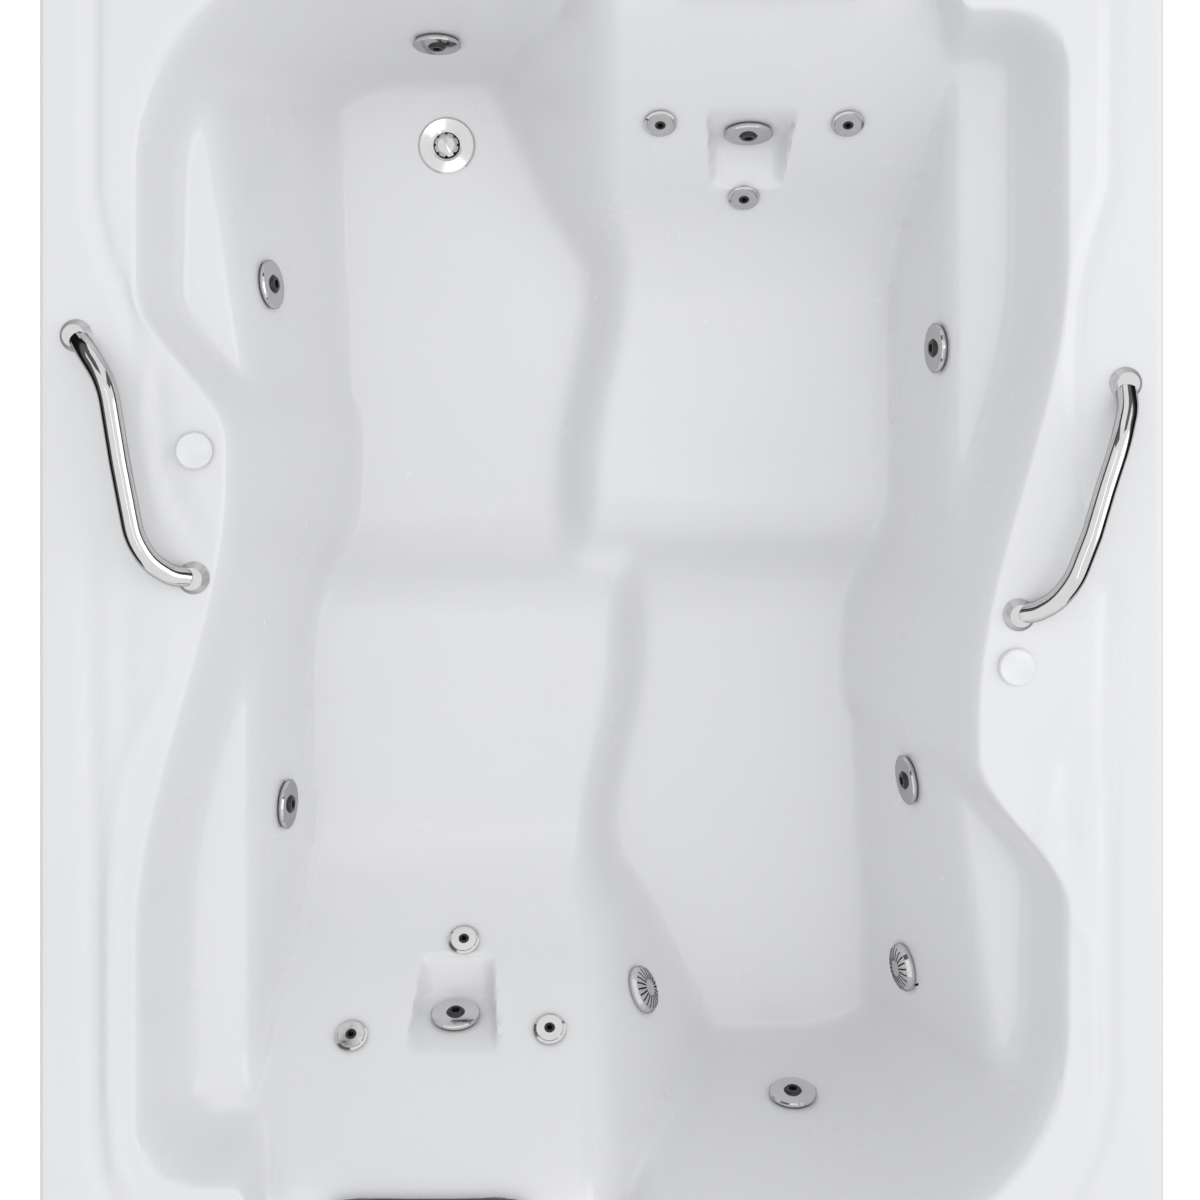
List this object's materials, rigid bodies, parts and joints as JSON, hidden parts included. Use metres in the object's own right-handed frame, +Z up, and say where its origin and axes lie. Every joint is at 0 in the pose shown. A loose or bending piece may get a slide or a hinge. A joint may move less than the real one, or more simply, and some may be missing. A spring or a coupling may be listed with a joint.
{
  "type": "jetted bathtub",
  "caption": "Drop-in jetted bath with side-by-side reclining places, jets, suctions, drain, grab bars, headrests, pipework and pump on a timber base.",
  "frame": {"origin": "middle of the base, on the floor the bath stands on", "axes": "+X across the bath, +Y along it, +Z up"},
  "size_m": [1.372, 1.829, 0.6685],
  "materials": {
    "acrylic": "polished white acrylic",
    "chrome": "polished",
    "black_plastic": "moulded",
    "grey_plastic": "moulded",
    "white_plastic": "glossy",
    "gasket_rubber": "soft",
    "pillow_foam": "soft matt skin of integral foam",
    "steel": "plain",
    "motor_paint": "satin",
    "copper_iron": "wound",
    "pipe_white": "extruded",
    "hose_clear": "extruded",
    "timber": "sawn"
  },
  "bodies": {
    "bath": {"air_control_body": "grey_plastic", "air_lines": "hose_clear", "air_switch_body": "grey_plastic", "base_board": "timber", "base_timbers": "timber", "discharge_pipe": "pipe_white", "drain_flange": "chrome", "drain_strainer": "black_plastic", "drain_tailpiece": "grey_plastic", "grab_bar_left": "chrome", "grab_bar_right": "chrome", "grab_bar_studs": "steel", "headrest_pegs": "grey_plastic", "inline_heater": "steel", "jet_bodies": "grey_plastic", "jet_branches": "pipe_white", "jet_gaskets": "gasket_rubber", "locknuts": "grey_plastic", "pump_bolts": "steel", "pump_cradle": "black_plastic", "pump_motor_housing": "motor_paint", "pump_stator": "copper_iron", "pump_volute": "black_plastic", "small_jet_bodies": "grey_plastic", "small_jet_faces": "chrome", "suction_bodies": "grey_plastic", "suction_cover_1": "chrome", "suction_cover_2": "chrome", "suction_lines": "pipe_white", "terminal_box": "black_plastic", "tub_shell": "acrylic", "water_main": "pipe_white"},
    "jet_face_1_turning": {"jet_face_1": "chrome"},
    "jet_ball_1_tilting": {"jet_ball_1": "black_plastic"},
    "jet_face_2_turning": {"jet_face_2": "chrome"},
    "jet_ball_2_tilting": {"jet_ball_2": "black_plastic"},
    "jet_face_3_turning": {"jet_face_3": "chrome"},
    "jet_ball_3_tilting": {"jet_ball_3": "black_plastic"},
    "jet_face_4_turning": {"jet_face_4": "chrome"},
    "jet_ball_4_tilting": {"jet_ball_4": "black_plastic"},
    "jet_face_5_turning": {"jet_face_5": "chrome"},
    "jet_ball_5_tilting": {"jet_ball_5": "black_plastic"},
    "jet_face_6_turning": {"jet_face_6": "chrome"},
    "jet_ball_6_tilting": {"jet_ball_6": "black_plastic"},
    "jet_face_7_turning": {"jet_face_7": "chrome"},
    "jet_ball_7_tilting": {"jet_ball_7": "black_plastic"},
    "jet_face_8_turning": {"jet_face_8": "chrome"},
    "jet_ball_8_tilting": {"jet_ball_8": "black_plastic"},
    "small_ball_1_tilting": {"small_jet_ball_1": "black_plastic"},
    "small_ball_2_tilting": {"small_jet_ball_2": "black_plastic"},
    "small_ball_3_tilting": {"small_jet_ball_3": "black_plastic"},
    "small_ball_4_tilting": {"small_jet_ball_4": "black_plastic"},
    "small_ball_5_tilting": {"small_jet_ball_5": "black_plastic"},
    "small_ball_6_tilting": {"small_jet_ball_6": "black_plastic"},
    "switch_button": {"air_switch_button": "white_plastic"},
    "control_knob": {"air_control_knob": "white_plastic"},
    "stopper": {"drain_stopper": "chrome"},
    "rotor": {"pump_rotor": "steel"},
    "pillow_left": {"headrest_left": "pillow_foam"},
    "pillow_right": {"headrest_right": "pillow_foam"}
  },
  "joints": [
    {"name": "jet_1_turn", "type": "hinge", "parent": "bath", "child": "jet_face_1_turning", "pos_m": [-0.232, 0.74064, 0.2902], "axis": [0, -0.9855, 0.1699], "range_deg": [-90, 90]},
    {"name": "jet_1_tilt", "type": "hinge", "parent": "jet_face_1_turning", "child": "jet_ball_1_tilting", "pos_m": [-0.232, 0.74064, 0.2902], "axis": [1, 0, 0], "range_deg": [-12, 12]},
    {"name": "jet_2_turn", "type": "hinge", "parent": "bath", "child": "jet_face_2_turning", "pos_m": [-0.44766, 0.39314, 0.39527], "axis": [0.9677, 0.1167, 0.2236], "range_deg": [-90, 90]},
    {"name": "jet_2_tilt", "type": "hinge", "parent": "jet_face_2_turning", "child": "jet_ball_2_tilting", "pos_m": [-0.44766, 0.39314, 0.39527], "axis": [0.2347, -0.0923, -0.9677], "range_deg": [-12, 12]},
    {"name": "jet_3_turn", "type": "hinge", "parent": "bath", "child": "jet_face_3_turning", "pos_m": [-0.43884, -0.322, 0.32517], "axis": [0.9897, 0, 0.1434], "range_deg": [-90, 90]},
    {"name": "jet_3_tilt", "type": "hinge", "parent": "jet_face_3_turning", "child": "jet_ball_3_tilting", "pos_m": [-0.43884, -0.322, 0.32517], "axis": [0.1434, 0, -0.9897], "range_deg": [-12, 12]},
    {"name": "jet_4_turn", "type": "hinge", "parent": "bath", "child": "jet_face_4_turning", "pos_m": [-0.2, -0.60584, 0.3553], "axis": [0, 0.9682, 0.2502], "range_deg": [-90, 90]},
    {"name": "jet_4_tilt", "type": "hinge", "parent": "jet_face_4_turning", "child": "jet_ball_4_tilting", "pos_m": [-0.2, -0.60584, 0.3553], "axis": [1, 0, 0], "range_deg": [-12, 12]},
    {"name": "jet_5_turn", "type": "hinge", "parent": "bath", "child": "jet_face_5_turning", "pos_m": [0.268, -0.74064, 0.2902], "axis": [0, 0.9855, 0.1699], "range_deg": [-90, 90]},
    {"name": "jet_5_tilt", "type": "hinge", "parent": "jet_face_5_turning", "child": "jet_ball_5_tilting", "pos_m": [0.268, -0.74064, 0.2902], "axis": [-1, 0, 0], "range_deg": [-12, 12]},
    {"name": "jet_6_turn", "type": "hinge", "parent": "bath", "child": "jet_face_6_turning", "pos_m": [0.4233, -0.28512, 0.33824], "axis": [-0.9754, -0.1019, 0.1955], "range_deg": [-90, 90]},
    {"name": "jet_6_tilt", "type": "hinge", "parent": "jet_face_6_turning", "child": "jet_ball_6_tilting", "pos_m": [0.4233, -0.28512, 0.33824], "axis": [-0.2042, 0.0832, -0.9754], "range_deg": [-12, 12]},
    {"name": "jet_7_turn", "type": "hinge", "parent": "bath", "child": "jet_face_7_turning", "pos_m": [0.45056, 0.308, 0.40522], "axis": [-0.9836, 0, 0.1801], "range_deg": [-90, 90]},
    {"name": "jet_7_tilt", "type": "hinge", "parent": "jet_face_7_turning", "child": "jet_ball_7_tilting", "pos_m": [0.45056, 0.308, 0.40522], "axis": [-0.1801, 0, -0.9836], "range_deg": [-12, 12]},
    {"name": "jet_8_turn", "type": "hinge", "parent": "bath", "child": "jet_face_8_turning", "pos_m": [0.2, 0.60584, 0.3553], "axis": [0, -0.9682, 0.2502], "range_deg": [-90, 90]},
    {"name": "jet_8_tilt", "type": "hinge", "parent": "jet_face_8_turning", "child": "jet_ball_8_tilting", "pos_m": [0.2, 0.60584, 0.3553], "axis": [-1, 0, 0], "range_deg": [-12, 12]},
    {"name": "small_jet_1_tilt", "type": "hinge", "parent": "bath", "child": "small_ball_1_tilting", "pos_m": [-0.193, -0.51912, 0.30206], "axis": [1, 0, 0], "range_deg": [-10, 10]},
    {"name": "small_jet_2_tilt", "type": "hinge", "parent": "bath", "child": "small_ball_2_tilting", "pos_m": [-0.335, -0.6121, 0.40692], "axis": [1, 0, 0], "range_deg": [-10, 10]},
    {"name": "small_jet_3_tilt", "type": "hinge", "parent": "bath", "child": "small_ball_3_tilting", "pos_m": [-0.07, -0.6061, 0.40014], "axis": [1, 0, 0], "range_deg": [-10, 10]},
    {"name": "small_jet_4_tilt", "type": "hinge", "parent": "bath", "child": "small_ball_4_tilting", "pos_m": [0.078, 0.6101, 0.40466], "axis": [-1, 0, 0], "range_deg": [-10, 10]},
    {"name": "small_jet_5_tilt", "type": "hinge", "parent": "bath", "child": "small_ball_5_tilting", "pos_m": [0.329, 0.6101, 0.40466], "axis": [-1, 0, 0], "range_deg": [-10, 10]},
    {"name": "small_jet_6_tilt", "type": "hinge", "parent": "bath", "child": "small_ball_6_tilting", "pos_m": [0.198, 0.52112, 0.30422], "axis": [-1, 0, 0], "range_deg": [-10, 10]},
    {"name": "air_switch_press", "type": "slide", "parent": "bath", "child": "switch_button", "axis": [0, 0, -1], "range_m": [0, 0.004], "stiffness_N_per_m": 400, "springref_m": -0.001},
    {"name": "air_control_turn", "type": "hinge", "parent": "bath", "child": "control_knob", "pos_m": [0.505, -0.083, 0.61], "axis": [0, 0, 1], "range_deg": [0, 180]},
    {"name": "drain_stopper_lift", "type": "slide", "parent": "bath", "child": "stopper", "axis": [0, 0, 1], "range_m": [0, 0.008]},
    {"name": "pump_rotor_spin", "type": "hinge", "parent": "bath", "child": "rotor", "pos_m": [-0.081, -0.79, 0.1997], "axis": [1, 0, 0], "continuous": true},
    {"name": "headrest_left_lift_off", "type": "slide", "parent": "bath", "child": "pillow_left", "axis": [0, 0, 1], "range_m": [0, 0.06]},
    {"name": "headrest_right_lift_off", "type": "slide", "parent": "bath", "child": "pillow_right", "axis": [0, 0, 1], "range_m": [0, 0.06]}
  ]
}
